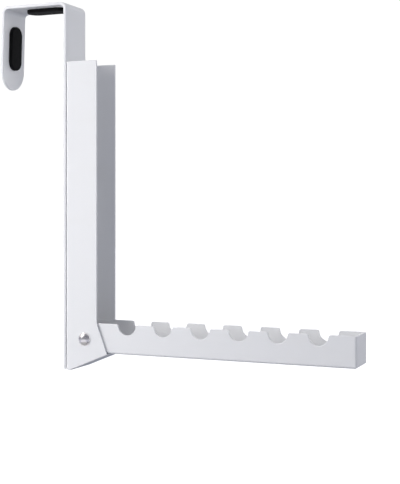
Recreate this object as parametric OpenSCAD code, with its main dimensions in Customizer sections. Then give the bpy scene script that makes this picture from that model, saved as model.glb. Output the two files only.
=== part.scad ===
// Over-the-door hook with a folding hanger arm, in powder-coated sheet steel.
// A flat strip is bent over the top of a door. A folded channel is riveted to its long front leg, and a
// trough-shaped arm with hanger notches turns on one rivet through the foot of the channel. Open, the arm
// lies on the front edge of the channel's floor. Folded up, it closes the front of the channel.
// Frame: +X points away from the door along the open arm, +Z is up, and the origin is the middle of the
// underside of the top pad, where the door's top edge bears. All sizes are in millimetres.

/* [Hook strip] */
// How far each edge of the strip stands back from the channel's side
hook_inset = 0.25; // [0.1:0.05:3]
// Thickness of the strip
strip_t = 2.3; // [1.6:0.1:3]
// Clear distance between the two legs, measured under the top
leg_gap = 50.4; // [47:0.1:60]
// How far the rear leg reaches below the top of the hook
rear_drop = 61.4; // [60:0.1:90]
// Angle by which the rear leg stands open
rear_lean = 1.6; // [0:0.1:4]
// Inside radius of the strip's two bends
hook_bend_r = 3; // [1:0.1:4]
// How much shorter the front leg ends than the channel
hook_end_gap = 0.6; // [0:0.1:5]

/* [Pads] */
// Thickness of the foam pads
pad_t = 2.7; // [1:0.1:3]
// Length of the foam pads
pad_l = 33; // [20:0.5:34]
// Width of the foam pads
pad_w = 14.2; // [14:0.1:20]
// Corner radius of the foam pads, seen square on
pad_corner_r = 6.9; // [4:0.1:6.9]
// Radius of the soft rim of the foam pads
pad_rim_r = 0.8; // [0.3:0.1:0.9]
// Distance from the front leg to the pad under the top
top_pad_gap = 5.3; // [4:0.1:7]
// Distance from the top of the hook down to the middle of the rear leg's pad
rear_pad_drop = 30; // [27:0.1:32]
// Distance from the foot of the channel up to the middle of the front leg's pad
door_pad_up = 24; // [20:0.5:30]

/* [Channel] */
// Outside width of the channel
channel_w = 30; // [30:0.1:36]
// Depth of the channel's side walls
channel_d = 25.4; // [25:0.1:30]
// Height of the channel
channel_h = 224.4; // [210:0.1:260]
// Distance from the top of the hook down to the top of the channel
channel_drop = 44.1; // [20:0.1:80]
// Thickness of the channel's sheet
sheet_t = 1.2; // [0.8:0.1:1.4]
// Outside radius of the channel's long bends
channel_bend_r = 2.2; // [1.5:0.1:3.2]
// How far the nose of the side walls stands out in front of them
nose_out = 8.4; // [4:0.1:14]
// Height of the nose above the foot
nose_h = 12.4; // [8:0.1:16]
// Height of the knee, where the side walls start to widen, above the arm
knee_rise = 0.1; // [0:0.1:8]
// Length of the level part of the foot
foot_l = 3.8; // [2:0.1:6]
// Outside radius where the floor meets the side walls
floor_bend_r = 1.1; // [0.6:0.1:1.8]
// Thickness of the floor's front edge, which is cut level to carry the arm
lip_t = 0.7; // [0.5:0.1:1.1]
// Radius of the corners of the side walls
wall_corner_r = 1; // [0.5:0.1:2]

/* [Arm] */
// Height of the arm
arm_h = 21.5; // [18:0.1:22]
// Thickness of the arm's sheet
arm_t = 1.2; // [0.8:0.1:1.5]
// Outside radius of the arm's bends
arm_bend_r = 1.8; // [1.5:0.1:2.5]
// Height of the pivot above the underside of the arm
pivot_in_arm = 9.7; // [9:0.1:11]
// Gap between each side of the arm and the channel
side_gap = 0.4; // [0.3:0.05:0.8]
// Gap between the open arm and the edge that carries it
stop_gap = 0.2; // [0.1:0.05:0.4]
// Gap between the arm's round heel and the inside of the channel
heel_gap = 0.65; // [0.3:0.05:1.5]
// How far the folded arm lies back from the front edges of the channel
fold_back = 0.4; // [0:0.1:1.5]
// Distance from the top of the channel down to the tip of the folded arm
tip_gap = 0.8; // [0.5:0.1:10]

/* [Notches] */
// Number of hanger notches
notch_count = 6; // [1:1:6]
// Distance from notch to notch
notch_pitch = 28.2; // [22:0.1:28.5]
// Distance from the pivot to the middle of the first notch
first_notch = 33.6; // [32:0.1:35]
// Radius of the round bowl of a notch
notch_r = 6.9; // [6.7:0.1:7.5]
// Width of a notch between its sides, at the top edge
notch_w = 14.2; // [13:0.1:14.3]
// Depth of a notch
notch_depth = 7.6; // [6:0.1:8]
// Angle by which the sides of a notch open upwards
notch_flare = 11; // [4:0.5:16]
// Radius on the two upper edges of a notch
notch_lip_r = 1.5; // [0.5:0.1:1.8]

/* [Pivot] */
// Diameter of the pivot rivet's shank
pivot_d = 5; // [4:0.1:6]
// Diameter of the pivot rivet's domed heads
pivot_head_d = 9.8; // [8:0.1:12]
// Height of the pivot rivet's domed heads
pivot_head_h = 3.3; // [1.5:0.1:4]
// Gap all round the shank in the holes that it passes through
pivot_gap = 0.05; // [0.02:0.01:0.09]
// Diameter of the two washers beside the arm
washer_d = 11; // [8:0.5:14]
// Part of the side gap that a washer leaves free
washer_play = 0.1; // [0.05:0.01:0.2]
// Diameter of the spacer sleeve between the arm's walls
sleeve_d = 8; // [7:0.1:10]

/* [Hook rivets] */
// Number of rivets that join the channel to the hook
rivet_count = 3; // [1:1:3]
// Distance from rivet to rivet
rivet_pitch = 70; // [40:1:72]
// Distance from the foot of the channel up to the lowest of these rivets
rivet_up = 58; // [52:1:60]
// Diameter of their shanks
rivet_d = 4; // [3:0.1:5]
// Diameter of their domed heads
rivet_head_d = 7; // [6.5:0.1:9]
// Height of their domed heads
rivet_head_h = 1.6; // [1:0.1:2]
// Diameter of their sunk ends at the back of the strip
rivet_sink_d = 6; // [5.5:0.1:7]
// Depth of their sunk ends
rivet_sink_h = 1.1; // [0.8:0.1:1.3]
// Gap round their shanks
rivet_gap = 0.05; // [0.02:0.01:0.1]

/* [Hidden] */
$fn = 96;

coat_white = [0.93, 0.935, 0.95];
foam_black = [0.08, 0.08, 0.09];
rivet_steel = [0.75, 0.76, 0.78];
nylon_grey = [0.62, 0.63, 0.65];

// Length by which a cutting shape runs past what it cuts
past = 5;

// The hook strip
hook_w = channel_w - 2 * hook_inset;
top_under_z = pad_t;
hook_top_z = top_under_z + strip_t;
leg_back_x = pad_l / 2 + top_pad_gap;
leg_front_x = leg_back_x + strip_t;
rear_face_x = leg_back_x - leg_gap;
rear_end_z = hook_top_z - rear_drop;
hook_outer_r = hook_bend_r + strip_t;
rear_round_z = rear_end_z + hook_w / 2;

// The channel, whose back plate lies on the front face of the strip
back_x = leg_front_x;
inside_x = back_x + sheet_t;
front_x = back_x + channel_d;
nose_x = front_x + nose_out;
channel_top_z = hook_top_z - channel_drop;
foot_z = channel_top_z - channel_h;
hook_end_z = foot_z + hook_end_gap;
inner_w = channel_w - 2 * sheet_t;
nose_z = foot_z + nose_h;
lip_z = nose_z + lip_t;
floor_slope = atan2(nose_h, nose_x - back_x - foot_l);

// The arm and its pivot
arm_w = inner_w - 2 * side_gap;
arm_bottom_z = lip_z + stop_gap;
arm_top_z = arm_bottom_z + arm_h;
pivot_z = arm_bottom_z + pivot_in_arm;
pivot_x = front_x - fold_back - pivot_in_arm;
arm_reach = channel_top_z - tip_gap - pivot_z;
tip_x = pivot_x + arm_reach;
knee_z = arm_top_z + knee_rise;
back_room = pivot_x - inside_x;
floor_room = (pivot_z - foot_z) * cos(floor_slope)
    - (pivot_x - back_x - foot_l) * sin(floor_slope) - sheet_t;
heel_r = min(back_room, floor_room) - heel_gap;
washer_t = side_gap - washer_play;
pivot_hole_d = pivot_d + 2 * pivot_gap;

// Height of the middle of a notch's bowl above the arm's top edge, and the point near which the bowl
// passes into the notch's side
bowl_z = notch_r - notch_depth;
notch_side_z = bowl_z - notch_r * sin(notch_flare);
notch_side_x = notch_w / 2 + notch_side_z * tan(notch_flare);

// Direction of an edge or a face at an angle
function heading(angle) = [cos(angle), sin(angle)];

// What is cut off a convex corner at point p to round it, where its two edges leave p at angles a and b
module corner_cut(p, a, b, r) {
    half = (b - a) / 2;
    middle = (a + b) / 2;
    difference() {
        polygon([p - r * heading(middle), p + r / tan(half) * heading(a), p + r / tan(half) * heading(b)]);
        translate(p + r / sin(half) * heading(middle)) circle(r);
    }
}

// Gives an outline drawn in X and Z a width across the part
module across(width) {
    rotate([90, 0, 0]) linear_extrude(width, center = true) children();
}

// Gives an outline drawn in Y and Z a length along X
module along(start_x, length) {
    translate([start_x, 0, 0]) rotate([90, 0, 90]) linear_extrude(length) children();
}

// Gives an outline drawn in X and Y a height
module upwards(start_z, height) {
    translate([0, 0, start_z]) linear_extrude(height) children();
}

// A turned solid whose axis lies along Y through a point of the side view
module turned_across(x, y, z, facing = 1) {
    translate([x, y, z]) rotate([-90 * facing, 0, 0]) rotate_extrude() children();
}

// Half outline of a domed head that stands on the X axis
module dome(diameter, height) {
    ball_r = (diameter * diameter / 4 + height * height) / (2 * height);
    intersection() {
        translate([0, height - ball_r]) circle(ball_r);
        square([diameter, height]);
    }
}

// Side outline of all that lies inside a surface of the bent strip, down to bottom_z. inset is 0 for the
// outer surface and the strip's thickness for the inner one.
module hook_side(inset, bend_r, bottom_z) {
    front = leg_front_x - inset;
    top = hook_top_z - inset;
    rear_top = rear_face_x - (strip_t - inset) / cos(rear_lean) + (top - top_under_z) * tan(rear_lean);
    rear_bottom = rear_top - (top - bottom_z) * tan(rear_lean);
    difference() {
        polygon([[rear_top, top], [front, top], [front, bottom_z], [rear_bottom, bottom_z]]);
        corner_cut([front, top], 180, 270, bend_r);
        corner_cut([rear_top, top], 270 - rear_lean, 360, bend_r);
    }
}

// The places of the rivets that hold the channel to the hook
module at_hook_rivets() {
    for (i = [0 : rivet_count - 1])
        translate([back_x, 0, foot_z + rivet_up + i * rivet_pitch]) rotate([0, 90, 0]) children();
}

// Half outline of a hook rivet's shank with its sunk end. extra is the gap of its hole, and beyond is how
// far it runs past the strip and the sheet at its two ends.
module hook_rivet_shank(extra = 0, beyond = 0) {
    r = rivet_d / 2 + extra;
    sink_r = rivet_sink_d / 2 + extra;
    polygon([[0, -strip_t - beyond], [sink_r, -strip_t - beyond], [sink_r, -strip_t],
             [r, rivet_sink_h - strip_t], [r, sheet_t + beyond], [0, sheet_t + beyond]]);
}

// The holes for these rivets, through the strip and the channel's back plate
module hook_rivet_holes() {
    at_hook_rivets() rotate_extrude() hook_rivet_shank(rivet_gap, past);
}

// Flat steel strip bent over the door, with a round end on its rear leg
module over_door_hook() {
    color(coat_white) difference() {
        across(hook_w) difference() {
            hook_side(0, hook_outer_r, hook_end_z);
            hook_side(strip_t, hook_bend_r, hook_end_z - past);
        }
        along(rear_face_x - rear_drop, rear_drop + past) difference() {
            translate([-hook_w, hook_end_z - past])
                square([2 * hook_w, rear_round_z - hook_end_z + past]);
            translate([0, rear_round_z]) circle(d = hook_w);
        }
        hook_rivet_holes();
    }
}

// Foam pad with round corners and a soft rim, lying on the XY plane with its length along X
module foam_pad() {
    corner = [pad_l / 2 - pad_corner_r, pad_w / 2 - pad_corner_r];
    hull() for (x = [-1, 1], y = [-1, 1]) translate([x * corner[0], y * corner[1], 0]) {
        cylinder(r = pad_corner_r, h = pad_t - pad_rim_r, $fn = 32);
        translate([0, 0, pad_t - pad_rim_r]) rotate_extrude($fn = 32)
            translate([pad_corner_r - pad_rim_r, 0]) intersection() {
                circle(pad_rim_r, $fn = 16);
                square(pad_rim_r);
            }
    }
}

// Pad that bears on the door's top edge
module top_pad() {
    color(foam_black) translate([0, 0, top_under_z]) rotate([180, 0, 0]) foam_pad();
}

// Pad on the inside of the rear leg
module rear_leg_pad() {
    drop = rear_pad_drop - strip_t;
    color(foam_black) translate([rear_face_x, 0, top_under_z]) rotate([0, rear_lean, 0])
        translate([0, 0, -drop / cos(rear_lean)]) rotate([0, 90, 0]) foam_pad();
}

// Pad on the door side of the front leg, behind the pivot
module door_pad() {
    color(foam_black) translate([leg_back_x, 0, foot_z + door_pad_up]) rotate([0, -90, 0])
        foam_pad();
}

// Folded channel: back plate, two side walls that widen to a nose, and a sloping floor between them
module back_channel() {
    outer_side = [[back_x, foot_z], [back_x + foot_l, foot_z], [nose_x, nose_z], [front_x, knee_z],
                  [front_x, channel_top_z], [back_x, channel_top_z]];
    floor_rise = sheet_t / cos(floor_slope) - foot_l * tan(floor_slope);
    floor_start_x = back_x + (sheet_t - floor_rise) / tan(floor_slope);
    lip_x = back_x + (lip_z - foot_z - floor_rise) / tan(floor_slope);
    knee_angle = atan2(knee_z - nose_z, front_x - nose_x);
    color(coat_white) difference() {
        intersection() {
            across(channel_w) difference() {
                polygon(outer_side);
                corner_cut([nose_x, nose_z], knee_angle, 180 + floor_slope, wall_corner_r);
                corner_cut([front_x, channel_top_z], 180, 270, wall_corner_r);
            }
            upwards(foot_z - past, channel_h + 2 * past) difference() {
                translate([back_x, -channel_w / 2]) square([nose_x - back_x + past, channel_w]);
                corner_cut([back_x, -channel_w / 2], 0, 90, channel_bend_r);
                corner_cut([back_x, channel_w / 2], -90, 0, channel_bend_r);
            }
            translate([back_x + foot_l, 0, foot_z]) rotate([0, -floor_slope, 0])
                along(-2 * nose_x, 4 * nose_x + channel_h) difference() {
                    translate([-channel_w / 2, 0]) square([channel_w, 2 * channel_h]);
                    corner_cut([-channel_w / 2, 0], 0, 90, floor_bend_r);
                    corner_cut([channel_w / 2, 0], 90, 180, floor_bend_r);
                }
        }
        intersection() {
            across(inner_w) polygon([
                [back_x, foot_z + sheet_t], [floor_start_x, foot_z + sheet_t], [lip_x, lip_z],
                [nose_x + past, lip_z], [nose_x + past, channel_top_z + past],
                [back_x, channel_top_z + past]]);
            upwards(foot_z, channel_h + 2 * past) difference() {
                translate([inside_x, -inner_w / 2]) square([nose_x - back_x + past, inner_w]);
                corner_cut([inside_x, -inner_w / 2], 0, 90, channel_bend_r - sheet_t);
                corner_cut([inside_x, inner_w / 2], -90, 0, channel_bend_r - sheet_t);
            }
        }
        hook_rivet_holes();
        turned_across(pivot_x, -channel_w, pivot_z) square([pivot_hole_d / 2, 2 * channel_w]);
    }
}

// Rivets that hold the channel to the hook, with domed heads inside the channel
module hook_rivets() {
    color(coat_white) at_hook_rivets() rotate_extrude() {
        hook_rivet_shank();
        translate([0, sheet_t]) dome(rivet_head_d, rivet_head_h);
    }
}

// Outline of one notch, whose middle at the arm's top edge is the origin
module notch() {
    top_x = notch_w / 2;
    beyond_x = top_x + past * tan(notch_flare);
    translate([0, bowl_z]) circle(notch_r);
    polygon([[-beyond_x, past], [-notch_side_x, notch_side_z], [notch_side_x, notch_side_z], [beyond_x, past]]);
    for (turn = [0, 1]) mirror([turn, 0]) corner_cut([top_x, 0], -90 - notch_flare, 0, notch_lip_r);
}

// Trough-shaped arm: a web below, two notched walls and a closed tip, with a round heel at the pivot
module folding_arm() {
    heel_x = pivot_x - heel_r;
    length = tip_x - heel_x;
    color(coat_white) difference() {
        intersection() {
            across(arm_w) difference() {
                union() {
                    translate([pivot_x, arm_bottom_z]) square([arm_reach, arm_h]);
                    intersection() {
                        translate([pivot_x, pivot_z]) circle(heel_r);
                        translate([heel_x, arm_bottom_z]) square([heel_r + past, arm_h]);
                    }
                }
                corner_cut([tip_x, arm_bottom_z], 90, 180, arm_bend_r);
            }
            along(heel_x - past, length + 2 * past) arm_section(arm_w, arm_bottom_z, arm_bend_r);
            upwards(arm_bottom_z - past, arm_h + 2 * past) arm_plan(arm_w, tip_x, arm_bend_r);
        }
        intersection() {
            across(arm_w) difference() {
                translate([heel_x - past, arm_bottom_z + arm_t]) square([length + past - arm_t, arm_h]);
                corner_cut([tip_x - arm_t, arm_bottom_z + arm_t], 90, 180, arm_bend_r - arm_t);
            }
            along(heel_x - 2 * past, length + 3 * past)
                arm_section(arm_w - 2 * arm_t, arm_bottom_z + arm_t, arm_bend_r - arm_t);
            upwards(arm_bottom_z, arm_h + 2 * past)
                arm_plan(arm_w - 2 * arm_t, tip_x - arm_t, arm_bend_r - arm_t);
        }
        across(channel_w) for (i = [0 : notch_count - 1])
            translate([pivot_x + first_notch + i * notch_pitch, arm_top_z]) notch();
        turned_across(pivot_x, -channel_w, pivot_z) square([pivot_hole_d / 2, 2 * channel_w]);
    }
}

// Section of the arm in Y and Z, with round lower corners and an open top
module arm_section(width, bottom_z, bend_r) {
    difference() {
        translate([-width / 2, bottom_z]) square([width, 2 * arm_h]);
        corner_cut([-width / 2, bottom_z], 0, 90, bend_r);
        corner_cut([width / 2, bottom_z], 90, 180, bend_r);
    }
}

// Plan of the arm in X and Y, with round corners at its tip
module arm_plan(width, end_x, bend_r) {
    difference() {
        translate([end_x - 2 * arm_reach, -width / 2]) square([2 * arm_reach, width]);
        corner_cut([end_x, -width / 2], 90, 180, bend_r);
        corner_cut([end_x, width / 2], 180, 270, bend_r);
    }
}

// Domed steel rivet on which the arm turns, with a head on both sides of the channel
module pivot_rivet() {
    color(rivet_steel) {
        turned_across(pivot_x, -channel_w / 2, pivot_z) square([pivot_d / 2, channel_w]);
        for (side = [-1, 1])
            turned_across(pivot_x, side * channel_w / 2, pivot_z, side) dome(pivot_head_d, pivot_head_h);
    }
}

// Sleeve that keeps the arm's walls apart on the rivet
module pivot_sleeve() {
    length = arm_w - 2 * arm_t;
    color(rivet_steel) turned_across(pivot_x, -length / 2, pivot_z)
        translate([pivot_hole_d / 2, 0]) square([(sleeve_d - pivot_hole_d) / 2, length]);
}

// Thin washer that fills most of the gap beside the arm, lying on the channel's wall
module side_washer(side) {
    color(nylon_grey) turned_across(pivot_x, side * inner_w / 2, pivot_z, -side)
        translate([pivot_hole_d / 2, 0]) square([(washer_d - pivot_hole_d) / 2, washer_t]);
}

module near_washer() {
    side_washer(-1);
}

module far_washer() {
    side_washer(1);
}

over_door_hook();
top_pad();
rear_leg_pad();
door_pad();
back_channel();
hook_rivets();
folding_arm();
pivot_rivet();
pivot_sleeve();
near_washer();
far_washer();
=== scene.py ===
# The over-the-door hook: coated steel with softened edges, foam pads, a steel rivet and a soft studio
import math

import bmesh
import bpy
from mathutils import Matrix, Vector


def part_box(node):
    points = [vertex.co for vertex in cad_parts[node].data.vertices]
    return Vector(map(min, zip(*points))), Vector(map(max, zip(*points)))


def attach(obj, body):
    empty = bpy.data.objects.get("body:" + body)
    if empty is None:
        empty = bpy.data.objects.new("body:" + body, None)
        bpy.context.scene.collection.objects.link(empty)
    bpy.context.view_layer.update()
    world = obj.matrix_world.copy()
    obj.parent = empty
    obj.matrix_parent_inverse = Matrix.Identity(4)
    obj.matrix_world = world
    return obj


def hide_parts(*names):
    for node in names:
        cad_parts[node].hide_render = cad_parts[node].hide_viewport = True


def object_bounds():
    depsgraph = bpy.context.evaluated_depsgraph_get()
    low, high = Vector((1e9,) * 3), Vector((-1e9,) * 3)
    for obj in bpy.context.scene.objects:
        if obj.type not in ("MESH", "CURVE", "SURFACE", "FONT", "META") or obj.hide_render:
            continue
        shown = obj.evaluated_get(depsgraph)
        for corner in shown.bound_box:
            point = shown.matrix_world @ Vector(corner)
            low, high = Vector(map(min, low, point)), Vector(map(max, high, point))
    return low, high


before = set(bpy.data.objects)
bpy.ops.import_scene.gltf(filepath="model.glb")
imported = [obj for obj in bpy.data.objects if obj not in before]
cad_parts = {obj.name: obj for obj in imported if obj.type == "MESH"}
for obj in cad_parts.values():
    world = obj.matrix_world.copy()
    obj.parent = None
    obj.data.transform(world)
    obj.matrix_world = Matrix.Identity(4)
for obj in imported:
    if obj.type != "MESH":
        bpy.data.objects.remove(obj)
cad_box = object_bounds()
scene = bpy.context.scene
MM = 0.001

# The photograph's height, focal length and horizon in pixels, and the camera worked out from them
PHOTO_H = 484
FOCAL_PX = 1052.57
HORIZON_Y = 202.2
CAMERA_AT = (0.41105, -0.6833, -0.1415)
CAMERA_TURN = math.radians(22.8)
SENSOR = 36.0

# White surroundings: light from below and above, the share left straight below, and what the camera sees
FILL_COLOUR = (0.925, 0.965, 1.12)
FILL_BELOW = 0.53
FILL_ABOVE = 0.225
NADIR_SHARE = 0.2
SHOWN_WHITE = 1.05

# The heights over which that light changes, where -1 is straight down and 1 is straight up
HORIZON_BAND = (-0.3, 0.3)
NADIR_BAND = (-0.85, -0.4)

# The lights: name, turn and rise in degrees, distance, size, watts, lights matt surfaces, seen in shiny ones
LAMP_COLOUR = (1.0, 0.985, 0.965)
LIGHTS = (
    ("near_box", -40, 5, 0.8, 0.5, 3.85, True, False),
    ("low_box", -60, -22, 0.8, 0.5, 1.3, True, False),
    ("high_box", -80, 46, 1.2, 1.3, 5.2, True, False),
    ("top_box", -110, 76, 1.2, 0.9, 2.7, True, False),
    ("right_box", 75, 22, 1.2, 0.7, 3.6, True, False),
    ("rear_box", 140, 10, 1.2, 0.9, 1.2, True, True),
    ("far_box", 178, 15, 1.2, 0.9, 3.2, True, True),
    ("high_card", -60, 42, 1.0, 0.9, 4.4, False, True),
    ("low_card", -10, -42, 1.0, 1.7, 3.2, False, True),
)

# The floor: how far it lies below the part, and its radius
FLOOR_DROP = 0.30
FLOOR_RADIUS = 9

# Colours of the powder coat: clean, smeared, whitened along a rim as a painted highlight, in a speck, and
# rubbed
COAT_CLEAN = (0.835, 0.84, 0.85)
COAT_SMEARED = (0.82, 0.82, 0.82)
COAT_PAINTED_HIGHLIGHT = (0.92, 0.92, 0.94)
COAT_SPECK = (0.55, 0.54, 0.52)
COAT_RUBBED = (0.50, 0.50, 0.51)

# Colours of the steel, the nylon, the foam and the floor, each from one end of its range to the other
STEEL_CLEAN, STEEL_SMEARED = (0.97, 0.93, 0.92), (0.91, 0.87, 0.86)
NYLON_CLEAN, NYLON_SMEARED = (0.72, 0.70, 0.65), (0.66, 0.64, 0.59)
FOAM_CELL, FOAM_SKIN, FOAM_DUSTY = (0.003, 0.003, 0.0033), (0.006, 0.006, 0.0065), (0.010, 0.010, 0.0105)
FLOOR_PALE, FLOOR_PALER = (0.93, 0.93, 0.93), (0.95, 0.95, 0.95)

# Spacing of the fine rings on a formed rivet head
RING_PITCH = 0.16 * MM

# The place that a pattern reads until a material gives it one
NOWHERE = (0, 0, 0)

# The name of the value that is 1 on the rounds of a coated piece and 0 elsewhere
RIM = "rim"

# How far apart points are merged before and after the rounding, and which edges count as flat or sharp
WELD = 0.01 * MM
SPECK = 0.003 * MM
FLAT_ANGLE = math.radians(0.6)
EDGE_ANGLE = math.radians(38)

# How far the coating rounds the strip's edges and those of the thinner sheets, and the faces across a round
STRIP_ROUND = 0.55 * MM
SHEET_ROUND = 0.45 * MM
ROUND_FACES = 3

# Places whose short edges stay as cut: least X, greatest X and greatest Z, in millimetres
NOSE_TIP = (56.3, 60, -249.9)
FOOT_END = (0, 29, -262.9)
HEEL_END = (0, 29.2, -248.2)
TIP_MITRES = (238.2, 240.1, -248.9)

# The foam pads: outline, corner radius, rounded rim, and a crown that rises over its reach from the rim
PAD_LONG = 33 * MM
PAD_WIDE = 14.2 * MM
PAD_THICK = 2.7 * MM
PAD_CORNER = 6.9 * MM
PAD_RIM = 0.8 * MM
PAD_CROWN = 0.12 * MM
PAD_REACH = 4.6 * MM

# The faces round a pad's corner, their length along its straight sides, and the rings over rim and crown
CORNER_FACES = 14
SIDE_STEP = 1.3 * MM
PAD_RINGS = 6

# How far the rear leg leans from upright
REAR_LEAN = math.radians(1.6)


def camera():
    """The photograph's own view: level, turned to the left, with the horizon above the middle."""
    cam = bpy.data.cameras.new("photo_camera")
    cam.sensor_fit = "AUTO"
    cam.sensor_width = SENSOR
    cam.lens = FOCAL_PX / PHOTO_H * SENSOR
    cam.shift_y = (HORIZON_Y - PHOTO_H / 2) / PHOTO_H
    cam.clip_start, cam.clip_end = 0.01, 30
    obj = bpy.data.objects.new("photo_camera", cam)
    obj.location = CAMERA_AT
    obj.rotation_euler = (math.radians(90), 0, CAMERA_TURN)
    scene.collection.objects.link(obj)
    scene.camera = obj


def soft_box(name, turn, rise, far, size, watts, lights, mirrored):
    """A square light that looks at the middle of the part. turn goes from -Y towards +X, rise goes up.

    lights says whether it lights matt surfaces, mirrored whether shiny surfaces show it.
    """
    lamp = bpy.data.lights.new(name, "AREA")
    lamp.shape, lamp.size, lamp.energy = "SQUARE", size, watts
    lamp.color = LAMP_COLOUR
    obj = bpy.data.objects.new(name, lamp)
    turn, rise = math.radians(turn), math.radians(rise)
    way = Vector((math.sin(turn) * math.cos(rise), -math.cos(turn) * math.cos(rise), math.sin(rise)))
    obj.location = (cad_box[0] + cad_box[1]) / 2 + way * far
    obj.rotation_euler = way.to_track_quat("Z", "Y").to_euler()
    obj.visible_diffuse, obj.visible_glossy = lights, mirrored
    scene.collection.objects.link(obj)


def surroundings():
    """A plain white background that lights the part most from just below the horizon."""
    world = bpy.data.worlds.new("studio")
    world.use_nodes = True
    scene.world = world
    tree = world.node_tree
    tree.nodes.clear()
    sky = new_node(tree, "TexCoord")
    height = new_node(tree, "SeparateXYZ", Vector=sky.outputs["Generated"]).outputs["Z"]
    side = ramp(tree, height, *HORIZON_BAND, FILL_BELOW, FILL_ABOVE)
    nadir = ramp(tree, height, *NADIR_BAND, NADIR_SHARE, 1.0)
    fill = new_node(tree, "Background", Color=FILL_COLOUR, Strength=maths(tree, "MULTIPLY", side, nadir))
    shown = new_node(tree, "Background", Color=(1, 1, 1), Strength=SHOWN_WHITE)
    path = new_node(tree, "LightPath")
    mix = new_node(tree, "MixShader", Fac=path.outputs["Is Camera Ray"])
    tree.links.new(fill.outputs["Background"], mix.inputs[1])
    tree.links.new(shown.outputs["Background"], mix.inputs[2])
    new_node(tree, "OutputWorld", Surface=mix.outputs["Shader"])


def floor():
    """A plain pale floor, well below the part, which hangs from its door."""
    bm = bmesh.new()
    bmesh.ops.create_circle(bm, cap_ends=True, segments=96, radius=FLOOR_RADIUS)
    bmesh.ops.translate(bm, verts=bm.verts, vec=(0, 0, cad_box[0].z - FLOOR_DROP))
    obj = piece(bm, "studio_floor", floor_paint())
    obj.visible_diffuse = obj.visible_glossy = False


def piece(bm, name, mat):
    """Puts a finished bmesh into the scene as an object at the origin."""
    mesh = bpy.data.meshes.new(name)
    bm.to_mesh(mesh)
    bm.free()
    mesh.materials.append(mat)
    obj = bpy.data.objects.new(name, mesh)
    scene.collection.objects.link(obj)
    return obj


def even_shading(obj, keep_sharp):
    """Smooth shading that keeps the large faces flat."""
    mesh = obj.data
    mesh.polygons.foreach_set("use_smooth", [True] * len(mesh.polygons))
    weighted = obj.modifiers.new("even_shading", "WEIGHTED_NORMAL")
    weighted.mode, weighted.weight, weighted.keep_sharp = "FACE_AREA", 50, keep_sharp


def put(tree, socket, value):
    """Links one input to a socket, or sets it to a number or a colour."""
    if isinstance(value, bpy.types.NodeSocket):
        tree.links.new(value, socket)
    else:
        socket.default_value = (*value, 1) if socket.type == "RGBA" else value


def feed(tree, node, values):
    """Feeds a node's inputs, given by name. A _ in a name stands for a blank. Returns the node."""
    for label, value in values.items():
        put(tree, node.inputs[label.replace("_", " ")], value)
    return node


def new_node(tree, kind, **values):
    """A new node with its inputs fed."""
    return feed(tree, tree.nodes.new("ShaderNode" + kind), values)


def group(name, ins, outs):
    """A new shader node group. ins gives each input's default, outs names the values it gives."""
    tree = bpy.data.node_groups.new(name, "ShaderNodeTree")
    for label, value in ins.items():
        kind = "NodeSocketVector" if isinstance(value, tuple) else "NodeSocketFloat"
        tree.interface.new_socket(label, in_out="INPUT", socket_type=kind).default_value = value
    for label in outs:
        tree.interface.new_socket(label, in_out="OUTPUT", socket_type="NodeSocketFloat")
    return tree, tree.nodes.new("NodeGroupInput").outputs, tree.nodes.new("NodeGroupOutput")


def placed(tree, which, **values):
    """Puts one of the groups into a material, with its own values. Returns what it gives."""
    node = tree.nodes.new("ShaderNodeGroup")
    node.node_tree = which
    return feed(tree, node, values).outputs


def maths(tree, operation, *values):
    """One Math node on sockets or numbers."""
    node = tree.nodes.new("ShaderNodeMath")
    node.operation = operation
    for socket, value in zip(node.inputs, values):
        put(tree, socket, value)
    return node.outputs[0]


def noise_at(tree, where, scale, detail, rough, distortion=0.0):
    """A noise texture at the place given."""
    node = new_node(tree, "TexNoise", Vector=where, Scale=scale, Detail=detail, Roughness=rough,
                    Distortion=distortion)
    return node.outputs["Fac"]


def ramp(tree, value, low, high, out_low=0.0, out_high=1.0):
    """Maps low..high to out_low..out_high, held at both ends."""
    node = new_node(tree, "MapRange", Value=value, From_Min=low, From_Max=high, To_Min=out_low,
                    To_Max=out_high)
    node.interpolation_type = "SMOOTHSTEP"
    return node.outputs["Result"]


def mixed(tree, factor, a, b):
    """Mixes two colours, given as sockets or as numbers."""
    node = new_node(tree, "Mix", Factor=factor)
    node.data_type = "RGBA"
    for socket, value in zip([s for s in node.inputs if s.type == "RGBA"], (a, b)):
        put(tree, socket, value)
    return next(s for s in node.outputs if s.type == "RGBA")


def bumped(tree, height, depth, strength=1.0):
    """Turns a height into a normal."""
    return new_node(tree, "Bump", Height=height, Distance=depth, Strength=strength).outputs["Normal"]


def dulled(tree, smears, more, rough):
    """A roughness that grows where a surface is smeared."""
    return maths(tree, "ADD", maths(tree, "MULTIPLY", smears, more), rough)


def orange_peel():
    """The fine skin of a baked powder coat over slow waves in the sheet under it."""
    tree, given, out = group("orange_peel", {"Vector": NOWHERE, "Scale": 900.0, "Waves": 0.5},
                             ("Height", "Fine"))
    skin = noise_at(tree, given["Vector"], given["Scale"], detail=1.5, rough=0.45)
    waves = noise_at(tree, given["Vector"], scale=55.0, detail=1.0, rough=0.4)
    slow = maths(tree, "MULTIPLY", waves, given["Waves"])
    feed(tree, out, {"Height": maths(tree, "ADD", skin, slow), "Fine": skin})
    return tree


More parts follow.
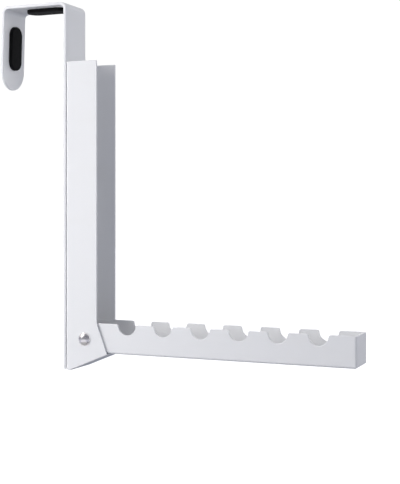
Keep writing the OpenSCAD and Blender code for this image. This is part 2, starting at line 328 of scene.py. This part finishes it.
def handling():
    """Faint smears and specks that storage and hands leave."""
    tree, given, out = group("handling", {"Vector": NOWHERE, "Smear Scale": 38.0, "Speck Scale": 700.0},
                             ("Smears", "Specks"))
    stretch = new_node(tree, "Mapping", Vector=given["Vector"], Scale=(0.45, 1.0, 1.6))
    wiped = noise_at(tree, stretch.outputs["Vector"], given["Smear Scale"], detail=4.0, rough=0.62,
                     distortion=0.6)
    dots = new_node(tree, "TexVoronoi", Vector=given["Vector"], Scale=given["Speck Scale"])
    near = ramp(tree, dots.outputs["Distance"], 0.05, 0.13, 1.0, 0.0)
    patches = noise_at(tree, given["Vector"], scale=260.0, detail=2.0, rough=0.5)
    rare = ramp(tree, patches, 0.58, 0.66)
    feed(tree, out, {"Smears": ramp(tree, wiped, 0.42, 0.68), "Specks": maths(tree, "MULTIPLY", near, rare)})
    return tree


def rim_highlight_and_wear():
    """Along the rims a painted highlight whitens the coat, and a few tiny spots of it are rubbed."""
    tree, given, out = group("rim_highlight_and_wear", {"Vector": NOWHERE, "Rim": 0.0, "Amount": 0.5}, ("Painted Highlight", "Rubbed"))
    patches = noise_at(tree, given["Vector"], scale=90.0, detail=3.0, rough=0.6)
    # Painted highlight: the rims are made whiter in patches, standing in for light caught on the rounds
    painted_highlight = maths(tree, "MULTIPLY", given["Rim"], ramp(tree, patches, 0.3, 0.7, 0.6, 1.0))
    spots = noise_at(tree, given["Vector"], scale=420.0, detail=4.0, rough=0.65)
    chips = maths(tree, "MULTIPLY", given["Rim"], ramp(tree, spots, 0.66, 0.72))
    feed(tree, out, {"Painted Highlight": painted_highlight, "Rubbed": maths(tree, "MULTIPLY", chips, given["Amount"])})
    return tree


def material(name):
    """A material with an empty Principled BSDF. Returns material, tree, shader, object coordinates."""
    mat = bpy.data.materials.new(name)
    mat.use_nodes = True
    tree = mat.node_tree
    return mat, tree, tree.nodes["Principled BSDF"], new_node(tree, "TexCoord").outputs["Object"]


def white_coat(peel, hands, rim_shine_and_wear):
    """White powder coat on steel, with a painted highlight along its rims."""
    mat, tree, shader, where = material("white_coat")
    rim = new_node(tree, "Attribute")
    rim.attribute_name = RIM
    skin = placed(tree, peel, Vector=where, Scale=950.0, Waves=1.2)
    marks = placed(tree, hands, Vector=where, Smear_Scale=36.0, Speck_Scale=620.0)
    edge = placed(tree, rim_shine_and_wear, Vector=where, Rim=rim.outputs["Fac"], Amount=0.25)
    smeared = maths(tree, "MULTIPLY", marks["Smears"], 0.35)
    # Painted highlight along the rounded rims, and the rubbed spots there
    painted_highlight = maths(tree, "MULTIPLY", edge["Painted Highlight"], 0.9)
    specked = maths(tree, "MULTIPLY", marks["Specks"], 0.2)
    colour = mixed(tree, smeared, COAT_CLEAN, COAT_SMEARED)
    # Painted highlight: the coat turns whiter along the rounded rims
    colour = mixed(tree, painted_highlight, colour, COAT_PAINTED_HIGHLIGHT)
    colour = mixed(tree, specked, colour, COAT_SPECK)
    colour = mixed(tree, edge["Rubbed"], colour, COAT_RUBBED)
    grain = maths(tree, "MULTIPLY", skin["Fine"], 0.05)
    rough = maths(tree, "ADD", dulled(tree, marks["Smears"], 0.08, 0.36), grain)
    feed(tree, shader, {"Base Color": colour, "Roughness": rough, "Specular IOR Level": 0.45,
                        "Normal": bumped(tree, skin["Height"], depth=0.018 * MM)})
    return mat


def rivet_steel(hands, centre):
    """Bright formed steel with rings left by the tool that closed the head."""
    mat, tree, shader, where = material("rivet_steel")
    marks = placed(tree, hands, Vector=where, Smear_Scale=300.0, Speck_Scale=1500.0)
    shift = new_node(tree, "Mapping", Vector=where, Location=(-centre.x, 0, -centre.z), Scale=(1, 0, 1))
    length = new_node(tree, "VectorMath")
    length.operation = "LENGTH"
    tree.links.new(shift.outputs["Vector"], length.inputs[0])
    turned = maths(tree, "SINE", maths(tree, "MULTIPLY", length.outputs["Value"], 2 * math.pi / RING_PITCH))
    broken = noise_at(tree, where, scale=1400.0, detail=2.0, rough=0.5)
    height = maths(tree, "ADD", maths(tree, "MULTIPLY", turned, 0.3), broken)
    colour = mixed(tree, marks["Smears"], STEEL_CLEAN, STEEL_SMEARED)
    feed(tree, shader, {"Metallic": 1.0, "Base Color": colour,
                        "Roughness": dulled(tree, marks["Smears"], 0.10, 0.27),
                        "Normal": bumped(tree, height, depth=0.004 * MM)})
    return mat


def black_foam():
    """Closed-cell foam: tiny cells, a dusty skin."""
    mat, tree, shader, where = material("foam")
    cells = new_node(tree, "TexVoronoi", Vector=where, Scale=2200.0).outputs["Distance"]
    lumps = noise_at(tree, where, scale=500.0, detail=3.0, rough=0.6)
    dust = noise_at(tree, where, scale=240.0, detail=4.0, rough=0.7)
    skin = mixed(tree, ramp(tree, dust, 0.4, 0.75), FOAM_SKIN, FOAM_DUSTY)
    colour = mixed(tree, ramp(tree, cells, 0.15, 0.6), FOAM_CELL, skin)
    height = maths(tree, "ADD", cells, maths(tree, "MULTIPLY", lumps, 1.5))
    feed(tree, shader, {"Base Color": colour, "Roughness": 0.85, "Specular IOR Level": 0.09,
                        "Sheen Weight": 0.03, "Sheen Roughness": 0.5,
                        "Normal": bumped(tree, height, depth=0.05 * MM, strength=0.9)})
    return mat


def nylon(hands):
    """Natural nylon, a little waxy."""
    mat, tree, shader, where = material("nylon")
    marks = placed(tree, hands, Vector=where, Smear_Scale=200.0, Speck_Scale=1200.0)
    colour = mixed(tree, marks["Smears"], NYLON_CLEAN, NYLON_SMEARED)
    grain = noise_at(tree, where, scale=900.0, detail=2.0, rough=0.5)
    feed(tree, shader, {"Base Color": colour, "Roughness": dulled(tree, marks["Smears"], 0.1, 0.4),
                        "Subsurface Weight": 0.1, "Subsurface Scale": 0.4 * MM,
                        "Normal": bumped(tree, grain, depth=0.006 * MM)})
    return mat


def floor_paint():
    """Matt near-white paint."""
    mat, tree, shader, where = material("floor_paint")
    clouds = noise_at(tree, where, scale=3.0, detail=3.0, rough=0.5)
    feed(tree, shader, {"Base Color": mixed(tree, clouds, FLOOR_PALE, FLOOR_PALER), "Roughness": 0.9,
                        "Emission Color": (1, 1, 1), "Emission Strength": 1.0})
    return mat


def stays_cut(edge, spots):
    """True for an edge inside one of the spots."""
    for least, most, top in spots:
        if all(least * MM < v.co.x < most * MM and v.co.z < top * MM for v in edge.verts):
            return True
    return False


def round_edges(bm, radius, spots):
    """Rounds the sheet's sharp edges, as the coating leaves them, and marks the points on the rounds."""
    bmesh.ops.dissolve_limit(bm, angle_limit=FLAT_ANGLE, use_dissolve_boundaries=False, verts=bm.verts,
                             edges=bm.edges)
    sharp = [e for e in bm.edges if e.is_manifold and e.is_convex and e.calc_face_angle() > EDGE_ANGLE
             and not stays_cut(e, spots)]
    rim = bm.verts.layers.float.new(RIM)
    made = bmesh.ops.bevel(bm, geom=sharp, offset=radius, offset_type="OFFSET", affect="EDGES",
                           segments=ROUND_FACES, profile=0.5, material=-1, clamp_overlap=False,
                           loop_slide=False)
    rounds = set(made["faces"])
    for v in made["verts"]:
        v[rim] = float(all(f in rounds for f in v.link_faces))
    bmesh.ops.dissolve_degenerate(bm, dist=SPECK, edges=bm.edges)


def finished_copy(node, name, mat, body, radius=0.0, spots=()):
    """A welded copy of a CAD node that takes its place, with rounded edges where a radius is given."""
    bm = bmesh.new()
    bm.from_mesh(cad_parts[node].data)
    bmesh.ops.remove_doubles(bm, verts=bm.verts, dist=WELD)
    bmesh.ops.dissolve_degenerate(bm, dist=WELD, edges=bm.edges)
    if radius:
        round_edges(bm, radius, spots)
    bm.normal_update()
    for e in bm.edges:
        e.smooth = e.calc_face_angle(0.0) < EDGE_ANGLE
    obj = piece(bm, name, mat)
    even_shading(obj, keep_sharp=True)
    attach(obj, body)
    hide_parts(node)


def raised(bm, face, inwards, upwards):
    """Draws a face in from its edges and lifts it, which leaves a ring of faces round it."""
    bmesh.ops.inset_individual(bm, faces=[face], thickness=inwards, depth=upwards, use_even_offset=True)


def foam_pad(name, node, mat, turn):
    """A die-cut foam pad: a rounded rectangle with a soft rim and a slightly crowned face."""
    bm = bmesh.new()
    corners = ((-1, -1), (1, -1), (1, 1), (-1, 1))
    bm.faces.new([bm.verts.new((x * PAD_LONG / 2, y * PAD_WIDE / 2, 0)) for x, y in corners])
    bmesh.ops.bevel(bm, geom=bm.verts[:], offset=PAD_CORNER, offset_type="OFFSET", affect="VERTICES",
                    segments=CORNER_FACES, profile=0.5, material=-1)
    straight = [e for e in bm.edges if e.calc_length() > SIDE_STEP]
    for e in straight:
        bmesh.ops.subdivide_edges(bm, edges=[e], cuts=round(e.calc_length() / SIDE_STEP))
    walls = bmesh.ops.extrude_face_region(bm, geom=bm.faces[:])
    top = next(g for g in walls["geom"] if isinstance(g, bmesh.types.BMFace))
    bmesh.ops.translate(bm, verts=list(top.verts), vec=(0, 0, PAD_THICK - PAD_RIM - PAD_CROWN))
    for k in range(PAD_RINGS):
        a, b = (math.pi / 2 * n / PAD_RINGS for n in (k, k + 1))
        raised(bm, top, PAD_RIM * (math.cos(a) - math.cos(b)), PAD_RIM * (math.sin(b) - math.sin(a)))
    for k in range(PAD_RINGS):
        a, b = (1 - (1 - n / PAD_RINGS) ** 2 for n in (k, k + 1))
        raised(bm, top, PAD_REACH / PAD_RINGS, PAD_CROWN * (b - a))
    bmesh.ops.poke(bm, faces=[f for f in bm.faces if len(f.verts) > 4])
    bmesh.ops.recalc_face_normals(bm, faces=bm.faces)
    lo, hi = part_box(node)
    seat = Matrix.Translation((lo + hi) / 2) @ turn @ Matrix.Translation((0, 0, -PAD_THICK / 2))
    bmesh.ops.transform(bm, matrix=seat, verts=bm.verts)
    obj = piece(bm, name, mat)
    even_shading(obj, keep_sharp=False)
    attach(obj, "bracket")
    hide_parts(node)


def dress(node, mat):
    """Gives a CAD node its finished material."""
    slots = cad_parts[node].data.materials
    for i in range(len(slots)):
        slots[i] = mat


camera()
surroundings()
for light in LIGHTS:
    soft_box(*light)
scene.view_settings.view_transform = "Standard"
scene.view_settings.look = "None"
floor()

peel, hands, rim_shine_and_wear = orange_peel(), handling(), rim_highlight_and_wear()
coat = white_coat(peel, hands, rim_shine_and_wear)
pivot_lo, pivot_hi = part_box("pivot_rivet")
steel = rivet_steel(hands, (pivot_lo + pivot_hi) / 2)
foam = black_foam()
plastic = nylon(hands)

finished_copy("over_door_hook", "coated_hook", coat, "bracket", STRIP_ROUND)
finished_copy("back_channel", "coated_channel", coat, "bracket", SHEET_ROUND,
              (NOSE_TIP, FOOT_END))
finished_copy("folding_arm", "coated_arm", coat, "arm", SHEET_ROUND,
              (HEEL_END, TIP_MITRES))
finished_copy("hook_rivets", "coated_rivets", coat, "bracket")
finished_copy("pivot_rivet", "steel_rivet", steel, "bracket")

dress("pivot_sleeve", steel)
dress("near_washer", plastic)
dress("far_washer", plastic)

face_down = Matrix.Rotation(math.pi, 4, "X")
face_left = Matrix.Rotation(-math.pi / 2, 4, "Y")
face_right = Matrix.Rotation(math.pi / 2 + REAR_LEAN, 4, "Y")
foam_pad("top_foam", "top_pad", foam, face_down)
foam_pad("rear_leg_foam", "rear_leg_pad", foam, face_right)
foam_pad("door_foam", "door_pad", foam, face_left)
